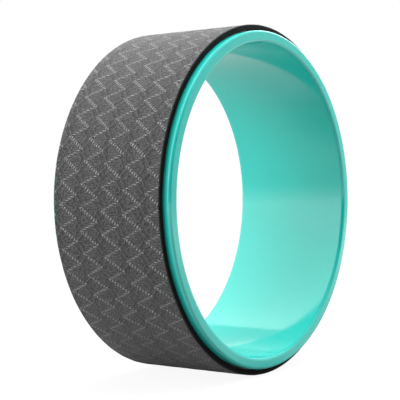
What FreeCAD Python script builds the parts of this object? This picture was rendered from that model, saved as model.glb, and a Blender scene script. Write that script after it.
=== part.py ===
"""Yoga wheel, 330 mm across and 130 mm wide, as an assembly of eight separate pieces.

The hoop is a moulding whose ribbed hollow wall is open to the outside between two solid rims.
Two half drums close that wall, two bands of double sided tape lie on the drums, and a mat of two
layers is wrapped over the tapes. The ends of the mat meet in a butt seam that a bead of cement fills.

Frame: origin at the centre of the wheel, +Y along the wheel's axis, +Z up, millimetres. The front
of the wheel faces -Y. Every profile is drawn with X as the radius and Y along the axis.
"""

import math
import os

import FreeCAD
import Part
import Sketcher

SHEET_NAME = "Sizes"
BANDS = 3  # cones in one rounding
SHARE_DIGITS = 6

# alias, cell text, meaning
SIZES = [
    ("hoop_radius", "159", "outside of the bare rims"),
    ("hoop_depth", "11", "bore to the outside of a rim"),
    ("hoop_half_width", "65", "centre plane to the end face of a rim"),
    ("outer_rounding", "2.5", "rounding of a rim's outer edge"),
    ("inner_rounding", "3", "rounding of a rim's inner edge"),
    ("wall_thickness", "3", "inner wall of the hoop"),
    ("rim_width", "9", "end face of a rim to the shoulder that stops a drum"),
    ("ledge_width", "3", "ledge beside the shoulder on which a drum's edge rests"),
    ("middle_rib_half", "1.25", "half the thickness of the rib that runs round the middle"),
    ("rib_angle", "1", "degrees that one cross rib takes round the hoop"),
    ("rib_count", "36", "cross ribs round the hoop"),
    ("rib_root", "0.5", "depth of a rib's root inside the wall"),
    ("drum_thickness", "2.5", "wall of a half drum"),
    ("drum_side_gap", "0.1", "play between a drum's edge and the shoulder"),
    ("drum_joint_angle", "0.1", "degrees left open where the two drums meet"),
    ("bond_gap", "0.1", "bond line under a tape"),
    ("tape_thickness", "0.4", "double sided tape"),
    ("tape_inner_edge", "2", "centre plane to the near edge of a tape"),
    ("tape_inset", "2", "edge of the mat to the far edge of a tape"),
    ("foam_thickness", "4.5", "black foam layer of the mat"),
    ("face_thickness", "1", "grey embossed layer of the mat"),
    ("bare_shoulder", "7", "end face of a rim to the edge of the mat"),
    ("seam_gap", "0.6", "gap between the ends of the mat, at the tread"),
    ("bore_radius", "=hoop_radius - hoop_depth", "inside of the hoop"),
    ("seat_half_width", "=hoop_half_width - rim_width", "centre plane to a shoulder"),
    ("mat_half_width", "=hoop_half_width - bare_shoulder", "centre plane to the edge of the mat"),
    ("tape_outer_edge", "=mat_half_width - tape_inset", "centre plane to the far edge of a tape"),
    ("wall_radius", "=bore_radius + wall_thickness", "floor of the pockets between the ribs"),
    ("drum_seat_radius", "=hoop_radius - drum_thickness", "tops of the ribs and of the ledges"),
    ("rib_foot_radius", "=wall_radius - rib_root", "root of a rib"),
    ("ledge_half_width", "=seat_half_width - ledge_width", "centre plane to the inner side of a ledge"),
    ("rib_half_length", "=ledge_half_width + rib_root", "half the length of a cross rib"),
    ("drum_half_width", "=seat_half_width - drum_side_gap", "half the width of a drum"),
    ("tape_foot_radius", "=hoop_radius + bond_gap", "inside of the tapes"),
    ("tape_radius", "=tape_foot_radius + tape_thickness", "outside of the tapes"),
    ("foam_radius", "=tape_radius + foam_thickness", "outside of the foam layer"),
    ("tread_radius", "=foam_radius + face_thickness", "outside of the wheel"),
    ("drum_angle", "=180 - drum_joint_angle", "degrees that one drum goes round"),
    ("seam_angle", "=seam_gap / tread_radius * 180 / pi", "degrees of the seam"),
    ("strip_angle", "=360 - seam_angle", "degrees that a strip goes round"),
    ("full_turn", "360", "degrees of a closed ring"),
]

DOC = FreeCAD.newDocument("YogaWheel")
SHEET = DOC.addObject("Spreadsheet::Sheet", SHEET_NAME)


def fill_sheet():
    """Write every size with its alias and its meaning, then compute the sheet."""
    for row, (alias, text, meaning) in enumerate(SIZES, start=1):
        SHEET.set(f"A{row}", meaning)
        SHEET.set(f"B{row}", text)
        SHEET.setAlias(f"B{row}", alias)
    DOC.recompute()


class Length:
    """A length that holds its number of the moment and the expression that gives it."""

    def __init__(self, number, text):
        self.number = number
        self.text = text

    def __neg__(self):
        return Length(-self.number, f"-({self.text})")

    def __add__(self, other):
        return Length(self.number + other.number, f"{self.text} + {other.text}")

    def __sub__(self, other):
        return Length(self.number - other.number, f"{self.text} - {other.text}")

    def part(self, share):
        """Give a share of the length."""
        return Length(self.number * share, f"({self.text}) * {share}")


def size(alias):
    """Give the length that one alias of the sheet names."""
    return Length(float(SHEET.get(alias)), f"{SHEET_NAME}.{alias}")


def add_body(name):
    """Start a body whose name and label are the node's name."""
    body = DOC.addObject("PartDesign::Body", name)
    body.Label = name
    return body


def origin_plane(body, role):
    """Find one of the body's own origin planes."""
    for feature in body.Origin.OriginFeatures:
        if feature.Role == role:
            return feature
    raise ValueError(role)


def add_profile(body, name, corners):
    """Draw a closed outline of straight sides, every corner held to the sheet.

    Each corner is a pair of lengths: radius, then distance along the axis.
    """
    sketch = body.newObject("Sketcher::SketchObject", name)
    sketch.AttachmentSupport = [(origin_plane(body, "XY_Plane"), "")]
    sketch.MapMode = "FlatFace"
    points = [FreeCAD.Vector(radius.number, along.number, 0) for radius, along in corners]
    sides = len(points)
    for side in range(sides):
        sketch.addGeometry(Part.LineSegment(points[side], points[(side + 1) % sides]), False)
    for side in range(sides):
        sketch.addConstraint(Sketcher.Constraint("Coincident", side, 2, (side + 1) % sides, 1))
    for side, corner in enumerate(corners):
        for kind, length in zip(("DistanceX", "DistanceY"), corner):
            index = sketch.addConstraint(Sketcher.Constraint(kind, -1, 1, side, 1, length.number))
            sketch.setExpression(f"Constraints[{index}]", length.text)
    return sketch


def spin(body, name, sketch, angle_alias):
    """Turn a profile about the wheel's axis, half of the angle to each side of the drawing plane."""
    turned = body.newObject("PartDesign::Revolution", name)
    turned.Profile = sketch
    turned.ReferenceAxis = (sketch, ["V_Axis"])
    turned.Midplane = True
    turned.setExpression("Angle", size(angle_alias).text)
    sketch.Visibility = False
    return turned


def ring(name, inner, outer, low, high, angle_alias):
    """Make a node that is one plain rectangle turned about the axis.

    Negative radii put the middle of the turn at -X, so that the part of the circle that the turn
    leaves out lies at +X.
    """
    body = add_body(name)
    corners = [(inner, low), (outer, low), (outer, high), (inner, high)]
    spin(body, f"{name}_turn", add_profile(body, f"{name}_profile", corners), angle_alias)
    return body


def arc_shares():
    """Give points along a quarter arc by how far each lies in from the arc's two sides.

    Both distances are shares of the arc's radius.
    """
    turns = [math.pi / 2 * band / BANDS for band in range(BANDS + 1)]
    side_shares = [round(1 - math.sin(turn), SHARE_DIGITS) for turn in turns]
    end_shares = [round(1 - math.cos(turn), SHARE_DIGITS) for turn in turns]
    return list(zip(side_shares, end_shares))


def rounded_end(half_width):
    """Give the outline of a rim's end, from the bore to the outside, with both edges rounded.

    A rounding is a row of narrow cones between points on its arc, which keeps the facets few.
    """
    inner = size("inner_rounding")
    outer = size("outer_rounding")
    outline = []
    for side_share, end_share in arc_shares():
        outline.append((size("bore_radius") + inner.part(end_share), half_width - inner.part(side_share)))
    for side_share, end_share in arc_shares():
        outline.append((size("hoop_radius") - outer.part(side_share), half_width - outer.part(end_share)))
    return outline


def make_hoop():
    """Mould the hoop: inner wall, two rims with ledges, middle rib and cross ribs."""
    body = add_body("hoop")
    half_outline = rounded_end(size("hoop_half_width")) + [
        (size("hoop_radius"), size("seat_half_width")),
        (size("drum_seat_radius"), size("seat_half_width")),
        (size("drum_seat_radius"), size("ledge_half_width")),
        (size("wall_radius"), size("ledge_half_width")),
        (size("wall_radius"), size("middle_rib_half")),
        (size("drum_seat_radius"), size("middle_rib_half")),
    ]
    mirrored = [(radius, -along) for radius, along in reversed(half_outline)]
    outline = add_profile(body, "hoop_outline", half_outline + mirrored)
    spin(body, "hoop_turn", outline, "full_turn")

    foot = size("rib_foot_radius")
    top = size("drum_seat_radius")
    end = size("rib_half_length")
    rib_outline = add_profile(body, "cross_rib_outline", [(foot, -end), (top, -end), (top, end), (foot, end)])
    rib = spin(body, "cross_rib", rib_outline, "rib_angle")
    ribs = body.newObject("PartDesign::PolarPattern", "cross_ribs")
    ribs.Originals = [rib]
    ribs.Axis = (rib_outline, ["V_Axis"])
    ribs.setExpression("Angle", size("full_turn").text)
    ribs.setExpression("Occurrences", size("rib_count").text)
    body.Tip = ribs
    return body


def make_pieces():
    """Make the eight pieces of the wheel, from the bore outwards."""
    seat = size("drum_seat_radius")
    outside = size("hoop_radius")
    drum_edge = size("drum_half_width")
    tape_foot = size("tape_foot_radius")
    tape_top = size("tape_radius")
    tape_near = size("tape_inner_edge")
    tape_far = size("tape_outer_edge")
    foam_top = size("foam_radius")
    tread = size("tread_radius")
    mat_edge = size("mat_half_width")
    return [
        make_hoop(),
        ring("drum_half_left", -seat, -outside, -drum_edge, drum_edge, "drum_angle"),
        ring("drum_half_right", seat, outside, -drum_edge, drum_edge, "drum_angle"),
        ring("tape_front", -tape_foot, -tape_top, -tape_far, -tape_near, "strip_angle"),
        ring("tape_rear", -tape_foot, -tape_top, tape_near, tape_far, "strip_angle"),
        ring("mat_foam", -tape_top, -foam_top, -mat_edge, mat_edge, "strip_angle"),
        ring("mat_face", -foam_top, -tread, -mat_edge, mat_edge, "strip_angle"),
        ring("seam_bead", tape_top, tread, -mat_edge, mat_edge, "seam_angle"),
    ]


def check_document():
    """Stop if any object of the document failed to compute."""
    for item in DOC.Objects:
        if "Invalid" in item.State or "Error" in item.State:
            raise RuntimeError(f"{item.Label}: {item.State}")


def export(pieces):
    """Check each piece and write it to its own file."""
    os.makedirs("parts", exist_ok=True)
    for piece in pieces:
        shape = piece.Shape
        if shape.isNull() or not shape.isValid() or len(shape.Solids) != 1:
            raise RuntimeError(f"{piece.Label}: not one sound solid")
        shape.exportStep(f"parts/{piece.Label}.step")
        print(f"{piece.Label}: {shape.Volume:.0f} mm3, {len(shape.Faces)} faces")


fill_sheet()
PIECES = make_pieces()
DOC.recompute()
check_document()
export(PIECES)
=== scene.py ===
"""Dress the yoga wheel: glossy teal hoop, black foam, grey embossed mat, studio and camera.

Lengths are metres in the wheel's own frame: +Y along the axis with the front facing -Y, +Z up.
"""

import logging
import math
from dataclasses import dataclass, field
from enum import Enum
from typing import Any, Sequence

import bpy
import numpy as np
from mathutils import Matrix, Vector


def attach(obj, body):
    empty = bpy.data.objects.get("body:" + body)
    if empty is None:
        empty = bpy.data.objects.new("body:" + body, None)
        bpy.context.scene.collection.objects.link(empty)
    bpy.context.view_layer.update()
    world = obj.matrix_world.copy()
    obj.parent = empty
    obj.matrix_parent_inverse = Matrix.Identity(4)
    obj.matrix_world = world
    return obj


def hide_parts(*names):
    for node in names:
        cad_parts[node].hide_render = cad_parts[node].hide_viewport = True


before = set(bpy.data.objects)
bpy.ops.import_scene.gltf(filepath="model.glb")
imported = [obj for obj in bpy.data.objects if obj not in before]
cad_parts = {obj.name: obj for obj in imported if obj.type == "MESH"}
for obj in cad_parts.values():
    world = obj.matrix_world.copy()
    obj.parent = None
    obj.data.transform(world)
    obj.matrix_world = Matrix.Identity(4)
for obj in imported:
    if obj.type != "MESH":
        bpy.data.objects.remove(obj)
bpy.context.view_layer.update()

Colour = tuple[float, float, float, float]
Grid = tuple[np.ndarray, np.ndarray]
Span = tuple[float, float]

LOG = logging.getLogger("yoga_wheel")
MM = 0.001
FULL_TURN = 2.0 * math.pi
QUARTER_TURN = 0.5 * math.pi
WHITE: Colour = (1.0, 1.0, 1.0, 1.0)
CELL_MAP = "cells"


class Slot(Enum):
    """Material slots of the record; the pieces built here are not given them."""

    HOOP = "hoop_plastic"
    FOAM = "foam"
    MAT = "mat"


@dataclass(frozen=True)
class Grain:
    """One noise: its cells per metre or per UV unit, its finer octaves and their weight."""

    scale: float
    detail: float = 2.0
    roughness: float = 0.5


class Term:
    """A shader value whose operators add Math nodes."""

    def __init__(self, tree: "Nodes", socket: Any) -> None:
        """Hold a socket, or a plain number, and the tree that it belongs to."""
        self.tree = tree
        self.socket = socket

    def _math(self, operation: str, *others: Any) -> "Term":
        """Add one Math node on this value.

        Args:
            operation: Name of the Math operation.
            others: Further inputs, numbers or terms.

        Returns:
            The node's result.
        """
        return self.tree.add("ShaderNodeMath", {"operation": operation}, [self, *others])

    def __add__(self, other: Any) -> "Term":
        """Give the sum."""
        return self._math("ADD", other)

    def __sub__(self, other: Any) -> "Term":
        """Give the difference."""
        return self._math("SUBTRACT", other)

    def __rsub__(self, other: Any) -> "Term":
        """Give the difference, taken from a plain number."""
        return Term(self.tree, other)._math("SUBTRACT", self)

    def __mul__(self, other: Any) -> "Term":
        """Give the product."""
        return self._math("MULTIPLY", other)

    __radd__ = __add__
    __rmul__ = __mul__

    def fract(self) -> "Term":
        """Give the part after the decimal point."""
        return self._math("FRACT")

    def size(self) -> "Term":
        """Give the value without its sign."""
        return self._math("ABSOLUTE")

    def root(self) -> "Term":
        """Give the square root."""
        return self._math("SQRT")

    def wave(self) -> "Term":
        """Give a cosine that runs between 0 and 1, one turn per unit and 1 at 0."""
        return (self * FULL_TURN)._math("COSINE") * 0.5 + 0.5

    def above(self, limit: float) -> "Term":
        """Give 1 where the value is over a limit and 0 elsewhere."""
        return self._math("GREATER_THAN", limit)

    def largest(self, other: Any) -> "Term":
        """Give the larger of two values."""
        return self._math("MAXIMUM", other)

    def step(self, low: float, high: float) -> "Term":
        """Run smoothly from 0 to 1 between two values, of which either may be the larger.

        Args:
            low: Value at which the result is 0.
            high: Value at which the result is 1.

        Returns:
            The smooth step.
        """
        flipped = low > high
        first, last = (high, low) if flipped else (low, high)
        result = self.tree.add(
            "ShaderNodeMapRange",
            {"interpolation_type": "SMOOTHSTEP"},
            {"Value": self, "From Min": first, "From Max": last},
        )
        return 1.0 - result if flipped else result


class Nodes:
    """The node tree of a material or a world, built one node at a time."""

    def __init__(self, tree: bpy.types.NodeTree) -> None:
        """Empty the tree and keep it."""
        tree.nodes.clear()
        self.tree = tree

    def add(self, kind: str, settings: dict[str, Any], inputs: Any, output: int | str = 0) -> Term:
        """Add any node.

        Args:
            kind: Node type name.
            settings: Properties, set before the sockets.
            inputs: Socket values or links, by name or in order.
            output: The output to hand back.

        Returns:
            The chosen output as a term.
        """
        node = self.tree.nodes.new(kind)
        for name, value in settings.items():
            setattr(node, name, value)
        pairs = inputs.items() if isinstance(inputs, dict) else enumerate(inputs)
        for key, value in pairs:
            self.feed(node.inputs[key], value)
        return Term(self, node.outputs[output] if len(node.outputs) else None)

    def feed(self, socket: bpy.types.NodeSocket, value: Any) -> None:
        """Link a term to a socket, or set the socket to a plain value.

        Args:
            socket: Input socket of a node.
            value: Term, number or colour.
        """
        plain = value.socket if isinstance(value, Term) else value
        if isinstance(plain, bpy.types.NodeSocket):
            self.tree.links.new(plain, socket)
        else:
            socket.default_value = plain

    def outputs(self, result: Term, names: Sequence[str]) -> list[Term]:
        """Give several outputs of the node that a result comes from."""
        sockets = result.socket.node.outputs
        return [Term(self, sockets[name]) for name in names]

    def parts(self, vector: Term) -> list[Term]:
        """Split a vector into its three numbers."""
        split = self.add("ShaderNodeSeparateXYZ", {}, [vector])
        return self.outputs(split, ("X", "Y", "Z"))

    def rays(self) -> tuple[Term, Term]:
        """Tell the rays apart that show the studio itself.

        Returns:
            1 for rays from the camera, and 1 for reflected and transmitted rays.
        """
        path = self.add("ShaderNodeLightPath", {}, {})
        names = ("Is Camera Ray", "Is Glossy Ray", "Is Transmission Ray")
        direct, glossy, through = self.outputs(path, names)
        return direct, glossy.largest(through)

    def place(self) -> Term:
        """Give the position in the piece's own frame."""
        return self.add("ShaderNodeTexCoord", {}, {}, "Object")

    def uv(self, name: str) -> Term:
        """Give the piece's own UV map."""
        return self.add("ShaderNodeUVMap", {"uv_map": name}, {})

    def noise(self, where: Term, grain: Grain) -> Term:
        """Give a noise from 0 to 1.

        Args:
            where: Position to read the noise at.
            grain: Settings of the noise.

        Returns:
            The noise.
        """
        inputs = {
            "Vector": where,
            "Scale": grain.scale,
            "Detail": grain.detail,
            "Roughness": grain.roughness,
        }
        return self.add("ShaderNodeTexNoise", {}, inputs)

    def mix(self, factor: Any, first: Any, second: Any) -> Term:
        """Mix two colours.

        The names of a Mix node's sockets repeat for each kind of value, so its factor and its
        colours are given by number.

        Args:
            factor: Share of the second colour.
            first: Colour at 0.
            second: Colour at 1.

        Returns:
            The mixed colour.
        """
        inputs = {0: factor, 6: first, 7: second}
        return self.add("ShaderNodeMix", {"data_type": "RGBA"}, inputs, 2)

    def blend(self, factor: Term, first: Term, second: Term) -> Term:
        """Blend two shaders."""
        return self.add("ShaderNodeMixShader", {}, [factor, first, second])

    def glow(self, strength: float) -> Term:
        """Give a white glow."""
        return self.add("ShaderNodeEmission", {}, {"Color": WHITE, "Strength": strength})

    def bump(self, height: Term, depth: float) -> Term:
        """Turn a height, in units of the depth in metres, into a normal."""
        inputs = {"Height": height, "Distance": depth, "Strength": 1.0}
        return self.add("ShaderNodeBump", {}, inputs)

    def surface(self, inputs: dict[str, Any]) -> None:
        """Finish a material with one principled shader."""
        self.show(self.add("ShaderNodeBsdfPrincipled", {}, inputs))

    def show(self, shader: Term) -> None:
        """Lead a shader to the material's output."""
        self.add("ShaderNodeOutputMaterial", {}, {"Surface": shader})


def new_material(name: str) -> tuple[bpy.types.Material, Nodes]:
    """Start a material with an empty tree.

    Args:
        name: Name of the material.

    Returns:
        The material and its nodes.
    """
    material = bpy.data.materials.new(name)
    material.use_nodes = True
    return material, Nodes(material.node_tree)


@dataclass(frozen=True)
class MouldedPlastic:
    """Glossy moulded ABS with a faint flow pattern, fine scuffs and a trace of orange peel."""

    deep: Colour = (0.020, 0.480, 0.420, 1.0)
    light: Colour = (0.024, 0.520, 0.455, 1.0)
    worn: Colour = (0.060, 0.580, 0.500, 1.0)
    flow: Grain = Grain(14.0, 3.0)
    flow_haze: float = 0.04
    scuff: Grain = Grain(420.0, 4.0, 0.7)
    scuff_edge: Span = (0.60, 0.74)
    patch: Grain = Grain(23.0)
    patch_edge: Span = (0.5, 0.7)
    wear: float = 0.35
    gloss: float = 0.09
    scuffed: float = 0.22
    peel: Grain = Grain(900.0)
    peel_depth: float = 0.003 * MM
    refraction: float = 1.52

    def make(self) -> bpy.types.Material:
        """Build the material.

        Returns:
            The material.
        """
        material, nodes = new_material("moulded_plastic")
        place = nodes.place()
        flow = nodes.noise(place, self.flow)
        patches = nodes.noise(place, self.patch).step(*self.patch_edge)
        scuffs = nodes.noise(place, self.scuff).step(*self.scuff_edge) * patches
        peel = nodes.noise(place, self.peel)
        colour = nodes.mix(flow, self.deep, self.light)
        colour = nodes.mix(scuffs * self.wear, colour, self.worn)
        haze = flow * self.flow_haze + self.gloss
        nodes.surface({
            "Base Color": colour,
            "Roughness": scuffs * (self.scuffed - self.gloss) + haze,
            "IOR": self.refraction,
            "Normal": nodes.bump(peel, self.peel_depth),
        })
        return material


@dataclass(frozen=True)
class CutFoam:
    """Black closed cell foam: fine cells, a few open pores and a satin skin."""

    dark: Colour = (0.0025, 0.0025, 0.0026, 1.0)
    grey: Colour = (0.0060, 0.0060, 0.0061, 1.0)
    cell_scale: float = 1500.0
    pore_edge: Span = (0.15, 0.7)
    pore_tint: float = 0.4
    patch: Grain = Grain(160.0, 3.0)
    patch_tint: float = 0.6
    patch_height: float = 0.5
    roughness: float = 0.55
    roughness_range: float = 0.2
    specular: float = 0.10
    depth: float = 0.25 * MM

    def make(self) -> bpy.types.Material:
        """Build the material.

        Returns:
            The material.
        """
        material, nodes = new_material("cut_foam")
        place = nodes.place()
        cells = nodes.add(
            "ShaderNodeTexVoronoi",
            {"feature": "F1"},
            {"Vector": place, "Scale": self.cell_scale},
        )
        patches = nodes.noise(place, self.patch)
        pores = cells.step(*self.pore_edge)
        tint = patches * self.patch_tint + pores * self.pore_tint
        nodes.surface({
            "Base Color": nodes.mix(tint, self.dark, self.grey),
            "Roughness": patches * self.roughness_range + self.roughness,
            "Specular IOR Level": self.specular,
            "Normal": nodes.bump(pores + patches * self.patch_height, self.depth),
        })
        return material


@dataclass(frozen=True)
class Lattice:
    """Lattice of the mat's embossing, in millimetres on the rolled out tread.

    Across runs towards the front edge and along runs up the side that the camera sees. A column
    step and a row step are each given by their two parts, so that the lattice is slightly askew
    on the strip as it is on the wheel. A zigzag's tips reach out by a share of a column. Dots
    and strokes are counted along one side of one zigzag.
    """

    column: Span = (23.4536, -2.7849)
    row: Span = (0.9859, 20.2883)
    start: Span = (1.0402, 22.8678)
    reach: float = 0.72
    dots: float = 5.0
    strokes: float = 7.0

    def cells(self, across: np.ndarray, along: np.ndarray) -> np.ndarray:
        """Turn lengths on the tread into lattice steps.

        The pair of steps (a, b) solves a * column + b * row = (across, along), plus the start.

        Args:
            across: Millimetres towards the front edge.
            along: Millimetres round the tread.

        Returns:
            Steps a and b in the last axis.
        """
        steps = np.linalg.inv(np.array([self.column, self.row]))
        return np.stack([across, along], axis=-1) @ steps + np.array(self.start)

    def zigzag(self, cells: np.ndarray) -> np.ndarray:
        """Measure from the nearest zigzag line.

        The line of a column is a = reach * (1 - |2 fract(b) - 1|).

        Args:
            cells: Steps a and b in the last axis.

        Returns:
            Distance in columns, from -0.5 to 0.5.
        """
        swing = self.reach * (1.0 - np.abs(2.0 * np.mod(cells[..., 1], 1.0) - 1.0))
        return np.mod(cells[..., 0] - swing + 0.5, 1.0) - 0.5


@dataclass(frozen=True)
class Strands:
    """Combed strands: how many cross one row and one column, and how far a noise bends them."""

    rows: float
    columns: float
    bends: float

    def waves(self, row: Term, column: Term, noise: Term) -> Term:
        """Give 1 along each strand and 0 between two strands."""
        return (row * self.rows - column * self.columns + noise * self.bends).wave()


@dataclass(frozen=True)
class EmbossedSkin:
    """Grey TPE skin: zigzags of light dots and strokes over a finely combed ground.

    Dots follow the rising side of a zigzag and leaning strokes the falling side. Ahead of each
    tip the strands of the ground part to both sides, with creases between them. Elsewhere the
    strands run across the mat. The dark core of the sheet shows on the cut edges.
    """

    lattice: Lattice
    # The furrow colour is painted shade: the ground turns to it where it lies low, in its furrows and
    # creases.
    painted_furrow_shade: Colour = (0.006, 0.006, 0.0063, 1.0)
    crest: Colour = (0.072, 0.072, 0.072, 1.0)
    dash: Colour = (0.260, 0.260, 0.260, 1.0)
    core: Colour = (0.0040, 0.0040, 0.0041, 1.0)
    core_edge: Span = (57.40 * MM, 57.55 * MM)
    line_scale: float = 12.0
    dot_edge: Span = (0.30, 0.80)
    dot_width: Span = (1.35, 0.5)
    stroke_edge: Span = (0.35, 0.85)
    stroke_width: Span = (1.9, 0.8)
    stroke_lean: float = 0.63
    fade: Grain = Grain(14.0, 1.0)
    fade_edge: Span = (0.25, 0.70)
    bend: Grain = Grain(7.0)
    level: Strands = Strands(9.0, 2.0, 2.2)
    spread: Strands = Strands(5.0, 6.9, 2.0)
    creases: Strands = Strands(2.5, 3.4, 0.8)
    parting_start: Span = (-0.20, 0.0)
    parting_end: Span = (0.50, 0.36)
    hatch_edge: Span = (0.05, 0.65)
    crease_edge: Span = (0.58, 0.92)
    grain: Grain = Grain(780.0, 2.0, 0.7)
    hatch_share: float = 0.50
    grain_share: float = 2.6
    crease_share: float = 0.34
    shade_height_edge: Span = (1.28, 1.98)
    roughness: float = 0.74
    mark_gloss: float = 0.22
    grain_haze: float = 0.1
    sheen: float = 0.14
    sheen_roughness: float = 0.45
    ground_height: float = 0.55
    depth: float = 0.45 * MM

    def marks(self, nodes: Nodes, cells: Term) -> Term:
        """Draw the zigzags, with the same line as in the lattice.

        Dots and strokes are waves along the line, cut to a width on each side of it and worn
        away in places by a noise.

        Args:
            nodes: Nodes of the material.
            cells: Lattice steps.

        Returns:
            1 on a dot or stroke and 0 elsewhere.
        """
        column, row, _ = nodes.parts(cells)
        phase = row.fract()
        falling = phase.above(0.5)
        swing = (1.0 - (phase * 2.0 - 1.0).size()) * self.lattice.reach
        gap = ((column - swing + 0.5).fract() - 0.5) * self.line_scale
        dots = (phase * (2.0 * self.lattice.dots)).wave().step(*self.dot_edge)
        dots = dots * gap.size().step(*self.dot_width)
        strokes = (row * (2.0 * self.lattice.strokes) - gap * self.stroke_lean).wave()
        strokes = strokes.step(*self.stroke_edge) * gap.size().step(*self.stroke_width)
        drawn = dots * (1.0 - falling) + strokes * falling
        return drawn * nodes.noise(cells, self.fade).step(*self.fade_edge)

    def ground(self, nodes: Nodes, cells: Term, grain: Term) -> Term:
        """Comb the ground between the zigzags.

        Ahead is the distance past the nearest tip in columns and aside the distance from it in
        rows. The strands are waves of these, and the creases are wider waves of the same kind.

        Args:
            nodes: Nodes of the material.
            cells: Lattice steps.
            grain: Fine grain of the sheet.

        Returns:
            Height of the ground.
        """
        column, row, _ = nodes.parts(cells)
        phase = row.fract()
        ahead = (column - self.lattice.reach + 0.5).fract() - 0.5
        aside = (phase - 0.5).size()
        bend = nodes.noise(cells, self.bend)
        parting = ahead.step(*self.parting_start) * ahead.step(*self.parting_end)
        level = self.level.waves(phase, ahead, bend) * (1.0 - parting)
        spread = self.spread.waves(aside, ahead, bend) * parting
        hatch = (level + spread).step(*self.hatch_edge)
        crease = self.creases.waves(aside, ahead, bend).step(*self.crease_edge) * parting
        return hatch * self.hatch_share + grain * self.grain_share - crease * self.crease_share

    def make(self) -> bpy.types.Material:
        """Build the material.

        Returns:
            The material.
        """
        material, nodes = new_material("embossed_skin")
        cells = nodes.uv(CELL_MAP)
        place = nodes.place()
        grain = nodes.noise(place, self.grain)
        marks = self.marks(nodes, cells)
        ground = self.ground(nodes, cells, grain)
        # The colour follows the ground's height. Furrows and creases get painted shade, crests keep
        # the skin's own grey, and the grain adds random tone.
        colour = nodes.mix(ground.step(*self.shade_height_edge), self.painted_furrow_shade, self.crest)
        colour = nodes.mix(marks, colour, self.dash)
        _, off_middle, _ = nodes.parts(place)
        cut = off_middle.size().step(*self.core_edge)
        nodes.surface({
            "Base Color": nodes.mix(cut, colour, self.core),
            "Roughness": self.roughness - marks * self.mark_gloss + grain * self.grain_haze,
            "Sheen Weight": self.sheen,
            "Sheen Roughness": self.sheen_roughness,
            "Normal": nodes.bump(ground * self.ground_height + marks, self.depth),
        })
        return material


@dataclass(frozen=True)
class TissueTape:
    """Off white double sided tape with the fibres of its carrier."""

    paper: Colour = (0.66, 0.63, 0.55, 1.0)
    fibre: Colour = (0.78, 0.76, 0.70, 1.0)
    fibres: Grain = Grain(700.0, 5.0, 0.7)
    roughness: float = 0.4
    roughness_range: float = 0.3
    depth: float = 0.05 * MM

    def make(self) -> bpy.types.Material:
        """Build the material.

        Returns:
            The material.
        """
        material, nodes = new_material("tissue_tape")
        fibres = nodes.noise(nodes.place(), self.fibres)
        nodes.surface({
            "Base Color": nodes.mix(fibres, self.paper, self.fibre),
            "Roughness": fibres * self.roughness_range + self.roughness,
            "Normal": nodes.bump(fibres, self.depth),
        })
        return material


@dataclass(frozen=True)
class RubberCement:
    """Dark cured cement, satin and slightly rippled."""

    dark: Colour = (0.020, 0.020, 0.021, 1.0)
    pale: Colour = (0.050, 0.049, 0.048, 1.0)
    ripples: Grain = Grain(350.0, 3.0)
    roughness: float = 0.4
    roughness_range: float = 0.25
    depth: float = 0.1 * MM

    def make(self) -> bpy.types.Material:
        """Build the material.

        Returns:
            The material.
        """
        material, nodes = new_material("rubber_cement")
        ripples = nodes.noise(nodes.place(), self.ripples)
        nodes.surface({
            "Base Color": nodes.mix(ripples, self.dark, self.pale),
            "Roughness": ripples * self.roughness_range + self.roughness,
            "Normal": nodes.bump(ripples, self.depth),
        })
        return material


def outward(points: np.ndarray, faces: np.ndarray) -> np.ndarray:
    """Turn the faces of a surface outwards.

    The signed volume, a sixth of the sum of a . (b x c) over the triangles of the faces, is
    negative on a surface that is inside out.

    Args:
        points: Vertex positions.
        faces: Four vertex numbers per face.

    Returns:
        The faces, each reversed if the volume is negative.
    """
    volume = 0.0
    for second, third in ((1, 2), (2, 3)):
        a, b, c = points[faces[:, 0]], points[faces[:, second]], points[faces[:, third]]
        volume += float(np.einsum("ij,ij->", a, np.cross(b, c)))
    return faces if volume > 0.0 else faces[:, ::-1]


def carry_round(radius: np.ndarray, along: np.ndarray, turns: np.ndarray, closed: bool) -> Grid:
    """Carry a closed section round the wheel's axis.

    Point (i, j) is (r cos t, y, r sin t), with turn t from row i and radius r and place y along
    the axis from column j. The ends of an open strip stay open.

    Args:
        radius: Radii, one row per turn or one row for all.
        along: Places along the axis, one row per turn or one row for all.
        turns: Angles of the rows.
        closed: Whether the last row joins the first.

    Returns:
        Vertex positions and faces of four corners.
    """
    rows, columns = len(turns), radius.shape[-1]
    radius = np.broadcast_to(radius, (rows, columns))
    along = np.broadcast_to(along, (rows, columns))
    cosine, sine = np.cos(turns)[:, None], np.sin(turns)[:, None]
    points = np.stack([radius * cosine, along, radius * sine], axis=-1).reshape(-1, 3)

    spans = rows if closed else rows - 1
    row, column = np.meshgrid(np.arange(spans), np.arange(columns), indexing="ij")
    next_row, next_column = (row + 1) % rows, (column + 1) % columns
    corners = [row * columns + column, row * columns + next_column]
    corners += [next_row * columns + next_column, next_row * columns + column]
    faces = np.stack(corners, axis=-1).reshape(-1, 4)
    return points, outward(points, faces)


def lidded(points: np.ndarray, faces: np.ndarray, columns: int) -> list[list[int]]:
    """Close each end of an open strip with one face.

    A strip's first face starts on its first row, unless the faces were reversed. Each lid runs
    against the strip's faces along the edges that they share.

    Args:
        points: Vertex positions, row by row.
        faces: Faces of the strip, pointing outwards.
        columns: Vertices in one row.

    Returns:
        All faces, the lids pointing out of the strip's ends.
    """
    first = np.arange(columns)
    last = first + len(points) - columns
    reversed_faces = faces[0, 0] >= columns
    lids = [first, last[::-1]] if reversed_faces else [first[::-1], last]
    return faces.tolist() + [lid.tolist() for lid in lids]


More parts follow.
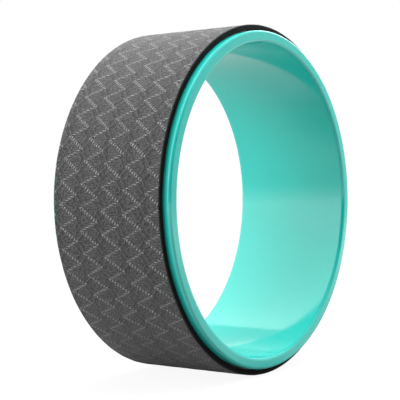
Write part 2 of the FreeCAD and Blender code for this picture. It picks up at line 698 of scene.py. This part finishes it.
def put_mesh(
    name: str, points: np.ndarray, faces: Sequence[Sequence[int]], crease: float
) -> bpy.types.Object:
    """Make a smooth shaded object from vertices and faces.

    Args:
        name: Name of the piece.
        points: Vertex positions in metres.
        faces: Vertex numbers of every face.
        crease: Angle over which an edge stays sharp.

    Returns:
        The new object at the origin.
    """
    mesh = bpy.data.meshes.new(name)
    mesh.from_pydata(points, [], faces)
    mesh.polygons.foreach_set("use_smooth", np.ones(len(mesh.polygons), dtype=bool))
    mesh.set_sharp_from_angle(angle=crease)
    mesh.update()
    piece = bpy.data.objects.new(name, mesh)
    bpy.context.scene.collection.objects.link(piece)
    return piece


def rounded_outline(
    corners: np.ndarray, radii: Sequence[float], arc_steps: int, guard: float
) -> np.ndarray:
    """Round the square corners of a closed outline.

    Each corner is replaced with a quarter circle of its radius that is tangent to both sides,
    and a guard point stands a short way out on each side so that flat faces shade flat.

    Args:
        corners: Outline corners in order.
        radii: Rounding radius of each corner; 0 keeps the corner sharp.
        arc_steps: Steps per arc.
        guard: Distance of the guard points.

    Returns:
        Points of the rounded outline.
    """
    pieces = []
    turn = QUARTER_TURN * np.linspace(0.0, 1.0, arc_steps + 1)[:, None]
    for index, radius in enumerate(radii):
        corner = corners[index]
        before = corners[index - 1] - corner
        after = corners[(index + 1) % len(corners)] - corner
        before, after = before / np.linalg.norm(before), after / np.linalg.norm(after)
        if radius == 0.0:
            pieces.append(np.stack([corner + guard * before, corner, corner + guard * after]))
            continue
        centre = corner + radius * (before + after)
        arc = centre - radius * (after * np.cos(turn) + before * np.sin(turn))
        entry, leave = arc[:1] + guard * before, arc[-1:] + guard * after
        pieces.append(np.concatenate([entry, arc, leave]))
    return np.concatenate(pieces)


@dataclass
class Hoop:
    """The moulded hoop: inner wall, rounded rims, ledges, middle rib and cross ribs."""

    bore: float = 148.0 * MM
    outside: float = 159.0 * MM
    half_width: float = 65.0 * MM
    inner_rounding: float = 3.0 * MM
    outer_rounding: float = 2.5 * MM
    seat: float = 156.5 * MM
    shoulder: float = 56.0 * MM
    ledge: float = 53.0 * MM
    pocket_floor: float = 151.0 * MM
    middle_rib: float = 1.25 * MM
    rib_foot: float = 150.5 * MM
    rib_reach: float = 53.5 * MM
    rib_count: int = 36
    rib_angle: float = math.radians(1.0)
    turns: int = 720
    arc_steps: int = 10
    guard: float = 0.15 * MM
    crease: float = math.radians(30.0)
    finish: MouldedPlastic = field(default_factory=MouldedPlastic)

    def section(self) -> np.ndarray:
        """Draw the hoop's outline, of which the rear half mirrors the front half.

        Returns:
            Rows of radius and place along the axis.
        """
        front = np.array([
            (self.bore, -self.half_width),
            (self.outside, -self.half_width),
            (self.outside, -self.shoulder),
            (self.seat, -self.shoulder),
            (self.seat, -self.ledge),
            (self.pocket_floor, -self.ledge),
            (self.pocket_floor, -self.middle_rib),
            (self.seat, -self.middle_rib),
        ])
        rear = (front * np.array([1.0, -1.0]))[::-1]
        rims = [self.inner_rounding, self.outer_rounding]
        radii = rims + [0.0] * (len(front) - len(rims))
        corners = np.concatenate([front, rear])
        return rounded_outline(corners, radii + radii[::-1], self.arc_steps, self.guard)

    def ribs(self) -> Grid:
        """Give the cross ribs, one block of eight corners each.

        Corner (k, i, j, l) of rib k is (r cos t, y, r sin t) with radius r from i, place y from j
        and turn t from l, at the two ends of each.

        Returns:
            Vertex positions and faces of four corners.
        """
        middles = np.arange(self.rib_count) * FULL_TURN / self.rib_count
        rib, radius, along, side = np.meshgrid(
            middles,
            [self.rib_foot, self.seat],
            [-self.rib_reach, self.rib_reach],
            [-0.5 * self.rib_angle, 0.5 * self.rib_angle],
            indexing="ij",
        )
        turn = rib + side
        points = np.stack([radius * np.cos(turn), along, radius * np.sin(turn)], axis=-1)
        points = points.reshape(-1, 3)
        # The six faces of one block, by the numbers of its corners.
        block = np.array([
            (0, 1, 3, 2),
            (4, 6, 7, 5),
            (0, 4, 5, 1),
            (2, 3, 7, 6),
            (0, 2, 6, 4),
            (1, 5, 7, 3),
        ])
        first_corners = np.arange(0, len(points), len(points) // self.rib_count)
        faces = (block[None] + first_corners[:, None, None]).reshape(-1, 4)
        return points, outward(points, faces)

    def build(self) -> bpy.types.Object:
        """Build and dress the hoop.

        Returns:
            The piece.
        """
        outline = self.section()
        turns = np.arange(self.turns) * FULL_TURN / self.turns
        points, faces = carry_round(outline[:, 0], outline[:, 1], turns, True)
        rib_points, rib_faces = self.ribs()
        faces = np.concatenate([faces, rib_faces + len(points)])
        points = np.concatenate([points, rib_points])
        piece = put_mesh("hoop_moulding", points, faces.tolist(), self.crease)
        piece.data.materials.append(self.finish.make())
        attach(piece, "root")
        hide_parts("hoop")
        return piece


@dataclass
class Mat:
    """The two layers of the mat, wrapped round the hoop with a butt seam at +X.

    A knife wave is given by its waves per turn, its share of the wander and its start. The ridge
    is in millimetres: its width, and one column measured square to a zigzag line.
    """

    foot: float = 159.5 * MM
    foam_top: float = 164.0 * MM
    tread: float = 165.0 * MM
    half_width: float = 58.0 * MM
    seam_gap: float = 0.6 * MM
    foam_rounding: float = 0.5 * MM
    skin_rounding: float = 0.45 * MM
    relief: float = 0.12 * MM
    ridge_width: float = 1.7
    ridge_column: float = 11.7
    cut_wander: float = 0.12 * MM
    knife_waves: tuple[tuple[float, float, float], ...] = (
        (7.0, 0.5, 0.0),
        (17.0, 0.3, 1.3),
        (41.0, 0.2, 0.4),
    )
    foam_turns: int = 720
    skin_turns: int = 880
    skin_columns: int = 94
    arc_steps: int = 4
    guard: float = 0.1 * MM
    foam_crease: float = math.radians(50.0)
    skin_crease: float = math.radians(60.0)
    lattice: Lattice = field(default_factory=Lattice)
    foam_finish: CutFoam = field(default_factory=CutFoam)

    def strip_turns(self, rows: int) -> np.ndarray:
        """Give the angles of a strip's rows, from one side of the seam to the other."""
        half_gap = 0.5 * self.seam_gap / self.tread
        return np.linspace(half_gap, FULL_TURN - half_gap, rows)

    def wander(self, turns: np.ndarray) -> np.ndarray:
        """Give the knife's drift from the true edge, a sum of slow waves, as one column."""
        waves = sum(share * np.sin(count * turns + start) for count, share, start in self.knife_waves)
        return self.cut_wander * waves[:, None]

    def build_foam(self) -> bpy.types.Object:
        """Build and dress the black foam layer.

        The section is a rectangle with rounded corners, and its sides follow the knife's drift.

        Returns:
            The piece.
        """
        corners = np.array([
            (self.foot, -self.half_width),
            (self.foam_top, -self.half_width),
            (self.foam_top, self.half_width),
            (self.foot, self.half_width),
        ])
        radii = [self.foam_rounding] * len(corners)
        radius, along = rounded_outline(corners, radii, self.arc_steps, self.guard).T
        turns = self.strip_turns(self.foam_turns)
        cut = along + np.sign(along) * (self.wander(turns) - self.cut_wander)
        points, faces = carry_round(radius, cut, turns, False)
        closed_faces = lidded(points, faces, len(radius))
        piece = put_mesh("mat_foam_layer", points, closed_faces, self.foam_crease)
        piece.data.materials.append(self.foam_finish.make())
        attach(piece, "root")
        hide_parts("mat_foam")
        return piece

    def skin_section(self) -> tuple[np.ndarray, np.ndarray, np.ndarray]:
        """Draw the skin's outline.

        Each upper edge is a quarter circle, the tread between them is a level row of points, and
        the base lies on the foam.

        Returns:
            Radii, places along the axis, and whether a point is on the tread.
        """
        edge = self.half_width - self.cut_wander
        flat = edge - self.skin_rounding
        ground = self.tread - self.relief
        turn = np.linspace(0.0, QUARTER_TURN, self.arc_steps + 1)[:-1]
        rise = ground - self.skin_rounding + self.skin_rounding * np.sin(turn)
        side = flat + self.skin_rounding * np.cos(turn)
        top = np.linspace(-flat, flat, self.skin_columns)
        base = np.array([edge, edge - self.guard, -edge + self.guard, -edge])
        level, foot = np.full(len(top), ground), np.full(len(base), self.foam_top)
        radius = np.concatenate([rise, level, rise[::-1], foot])
        along = np.concatenate([-side, top, side[::-1], base])
        return radius, along, radius == ground

    def build_skin(self) -> bpy.types.Object:
        """Build and dress the grey skin with the relief of its zigzags.

        The tread's radius is the ground radius plus relief * exp(-(d / width)^2), where d is the
        distance from the nearest zigzag line.

        Returns:
            The piece.
        """
        radius, along, on_tread = self.skin_section()
        turns = self.strip_turns(self.skin_turns)
        across_mm = np.broadcast_to(-along / MM, (len(turns), len(along)))
        along_mm = np.broadcast_to(-turns[:, None] * self.tread / MM, across_mm.shape)
        cells = self.lattice.cells(across_mm, along_mm)
        distance = self.lattice.zigzag(cells) * self.ridge_column / self.ridge_width
        radius = radius + on_tread * self.relief * np.exp(-(distance ** 2))
        cut = along + ~on_tread * np.sign(along) * self.wander(turns)
        points, faces = carry_round(radius, cut, turns, False)
        closed_faces = lidded(points, faces, len(along))
        piece = put_mesh("mat_skin", points, closed_faces, self.skin_crease)
        layer = piece.data.uv_layers.new(name=CELL_MAP)
        corners = np.empty(len(piece.data.loops), dtype=np.int32)
        piece.data.loops.foreach_get("vertex_index", corners)
        layer.data.foreach_set("uv", cells.reshape(-1, 2)[corners].ravel())
        piece.data.materials.append(EmbossedSkin(self.lattice).make())
        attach(piece, "root")
        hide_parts("mat_face")
        return piece


@dataclass
class HiddenLayers:
    """The drums, tapes and seam bead, which keep the shapes of their solids."""

    drums: tuple[str, ...] = ("drum_half_left", "drum_half_right")
    tapes: tuple[str, ...] = ("tape_front", "tape_rear")
    bead: str = "seam_bead"

    def dress(self, plastic: bpy.types.Material) -> list[str]:
        """Give each of these pieces its finish.

        Args:
            plastic: The hoop's material, which the drums share.

        Returns:
            Names of the dressed pieces.
        """
        tape = TissueTape().make()
        cement = RubberCement().make()
        finishes = {name: plastic for name in self.drums}
        finishes.update({name: tape for name in self.tapes})
        finishes[self.bead] = cement
        for name, material in finishes.items():
            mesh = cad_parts[name].data
            mesh.materials.clear()
            mesh.materials.append(material)
        return list(finishes)


@dataclass(frozen=True)
class Lamp:
    """One softbox: where it stands, its size, its power and whether reflections show it."""

    name: str
    place: tuple[float, float, float]
    width: float
    height: float
    watts: float
    mirrored: bool

    def hang(self) -> bpy.types.Object:
        """Hang the softbox, turned to the wheel.

        Returns:
            The lamp.
        """
        light = bpy.data.lights.new(self.name, "AREA")
        light.shape = "RECTANGLE"
        light.size = self.width
        light.size_y = self.height
        light.energy = self.watts
        box = bpy.data.objects.new(self.name, light)
        box.location = self.place
        box.rotation_euler = (-Vector(self.place)).to_track_quat("-Z", "Y").to_euler()
        box.visible_glossy = self.mirrored
        bpy.context.scene.collection.objects.link(box)
        return box


@dataclass
class PhotoView:
    """The camera, in the pixels of the photo and as the wheel's place in front of it."""

    image: float = 400.0
    focal_pixels: float = 1029.62
    centre_pixel: float = 240.0
    sensor: float = 36.0
    azimuth: float = math.radians(-56.89)
    elevation: float = math.radians(0.22)
    wheel_right: float = -24.73 * MM
    wheel_down: float = -0.21 * MM
    wheel_away: float = 1008.77 * MM
    nearest: float = 10.0 * MM

    def build(self) -> bpy.types.Object:
        """Place the camera and look through it.

        Returns:
            The camera.
        """
        right = Vector((math.cos(self.azimuth), math.sin(self.azimuth), 0.0))
        back = Vector((
            math.sin(self.azimuth) * math.cos(self.elevation),
            -math.cos(self.azimuth) * math.cos(self.elevation),
            math.sin(self.elevation),
        ))
        up = back.cross(right)
        place = -self.wheel_right * right + self.wheel_down * up + self.wheel_away * back
        lens = bpy.data.cameras.new("photo_camera")
        lens.sensor_width = self.sensor
        lens.lens = self.focal_pixels / self.image * self.sensor
        lens.shift_x = (0.5 * self.image - self.centre_pixel) / self.image
        lens.clip_start = self.nearest
        camera = bpy.data.objects.new("photo_camera", lens)
        turn = Matrix((right, up, back)).transposed().to_4x4()
        camera.matrix_world = Matrix.Translation(place) @ turn
        bpy.context.scene.collection.objects.link(camera)
        bpy.context.scene.camera = camera
        return camera


@dataclass
class Surround:
    """The world: white to the camera and in reflections, with one dark end, and a soft fill.

    The dark end is the unlit front left of the studio. Its edge is where it starts and where it
    is full, as the cosine of the angle from its middle.
    """

    dark_turn: float = math.radians(-44.89)
    dark_edge: Span = (0.30, 0.75)
    fill: float = 0.10

    def build(self) -> None:
        """Make the world and use it."""
        world = bpy.data.worlds.new("studio_world")
        world.use_nodes = True
        bpy.context.scene.world = world
        nodes = Nodes(world.node_tree)
        direct, mirrored = nodes.rays()
        sky = nodes.add("ShaderNodeTexCoord", {}, {}, "Generated")
        east, north, _ = nodes.parts(sky)
        facing = east * math.sin(self.dark_turn) - north * math.cos(self.dark_turn)
        bright = direct.largest(mirrored * (1.0 - facing.step(*self.dark_edge)))
        strength = bright + (1.0 - direct.largest(mirrored)) * self.fill
        light = nodes.add("ShaderNodeBackground", {}, {"Color": WHITE, "Strength": strength})
        nodes.add("ShaderNodeOutputWorld", {}, {"Surface": light})


@dataclass
class Floor:
    """The paper floor under the wheel.

    The camera sees white with a share of true shade near the wheel. Reflections see the same
    outside the wheel's foot, under a glare that grows with the distance. Scattered light, and
    reflections at the foot, meet plain grey paper. An edge is two distances from the point
    under the wheel's middle, at which a change starts and ends.
    """

    height: float = -165.0 * MM
    size: float = 12.0
    crease: float = math.radians(30.0)
    paper: Grain = Grain(180.0, 4.0)
    bounce_tones: Span = (0.24, 0.28)
    shade_tones: Span = (0.86, 0.90)
    shade_edge: Span = (0.9, 0.12)
    shade_share: float = 0.08
    mirror_edge: Span = (0.08, 0.20)
    glare: float = 2.1
    glare_edge: Span = (0.36, 2.3)
    least_glare: float = 0.14

    def matt_paper(self, nodes: Nodes, paper: Term, tones: Span) -> Term:
        """Give matt paper whose grey wanders between two tones."""
        first, second = ((shade_height_edge, shade_height_edge, shade_height_edge, 1.0) for shade_height_edge in tones)
        return nodes.add("ShaderNodeBsdfDiffuse", {}, {"Color": nodes.mix(paper, first, second)})

    def make(self) -> bpy.types.Material:
        """Build the floor's material.

        Returns:
            The material.
        """
        material, nodes = new_material("pale_floor")
        place = nodes.place()
        across, deep, _ = nodes.parts(place)
        radius = (across * across + deep * deep).root()
        direct, mirrored = nodes.rays()
        paper = nodes.noise(place, self.paper)
        bounce = self.matt_paper(nodes, paper, self.bounce_tones)
        shade = self.matt_paper(nodes, paper, self.shade_tones)
        near = radius.step(*self.shade_edge) * self.shade_share
        seen = nodes.blend(near, nodes.glow(1.0), shade)
        grown = radius.step(*self.glare_edge) * (1.0 - self.least_glare) + self.least_glare
        swept = nodes.blend(mirrored * grown, seen, nodes.glow(self.glare))
        shown = direct.largest(mirrored * radius.step(*self.mirror_edge))
        nodes.show(nodes.blend(shown, bounce, swept))
        return material

    def build(self) -> bpy.types.Object:
        """Lay the floor under the wheel as one square face.

        Returns:
            The floor.
        """
        half = 0.5 * self.size
        corners = np.array([(-half, -half), (half, -half), (half, half), (-half, half)])
        points = np.column_stack([corners, np.full(len(corners), self.height)])
        floor = put_mesh("studio_floor", points, [(0, 1, 2, 3)], self.crease)
        floor.data.materials.append(self.make())
        return floor


@dataclass
class Studio:
    """White surround, paper floor, softboxes and the camera."""

    surround: Surround = field(default_factory=Surround)
    floor: Floor = field(default_factory=Floor)
    view: PhotoView = field(default_factory=PhotoView)
    lamps: tuple[Lamp, ...] = (
        Lamp("softbox", (-0.72, 1.09, 1.1), 3.6, 3.0, 69.0, True),
        Lamp("overhead", (0.5, -0.25, 1.5), 2.0, 2.0, 68.0, False),
        Lamp("left", (-1.58, 0.58, 0.2), 0.9, 1.0, 18.0, False),
        Lamp("right", (1.30, -1.10, 0.4), 1.0, 1.0, 14.0, False),
        Lamp("back", (1.70, 0.40, 1.0), 1.6, 1.0, 15.0, True),
    )

    def build(self) -> None:
        """Set up everything round the wheel."""
        self.surround.build()
        self.floor.build()
        for lamp in self.lamps:
            lamp.hang()
        self.view.build()
        bpy.context.scene.view_settings.view_transform = "Standard"


def main() -> None:
    """Build the wheel from the hoop outwards, then the studio."""
    logging.basicConfig(level=logging.INFO, format="%(message)s")
    hoop = Hoop().build()
    LOG.info("%s: %d faces", hoop.name, len(hoop.data.polygons))
    mat = Mat()
    for piece in (mat.build_foam(), mat.build_skin()):
        LOG.info("%s: %d faces", piece.name, len(piece.data.polygons))
    for name in HiddenLayers().dress(hoop.data.materials[0]):
        LOG.info("%s: dressed", name)
    Studio().build()


if __name__ == "__main__":
    main()
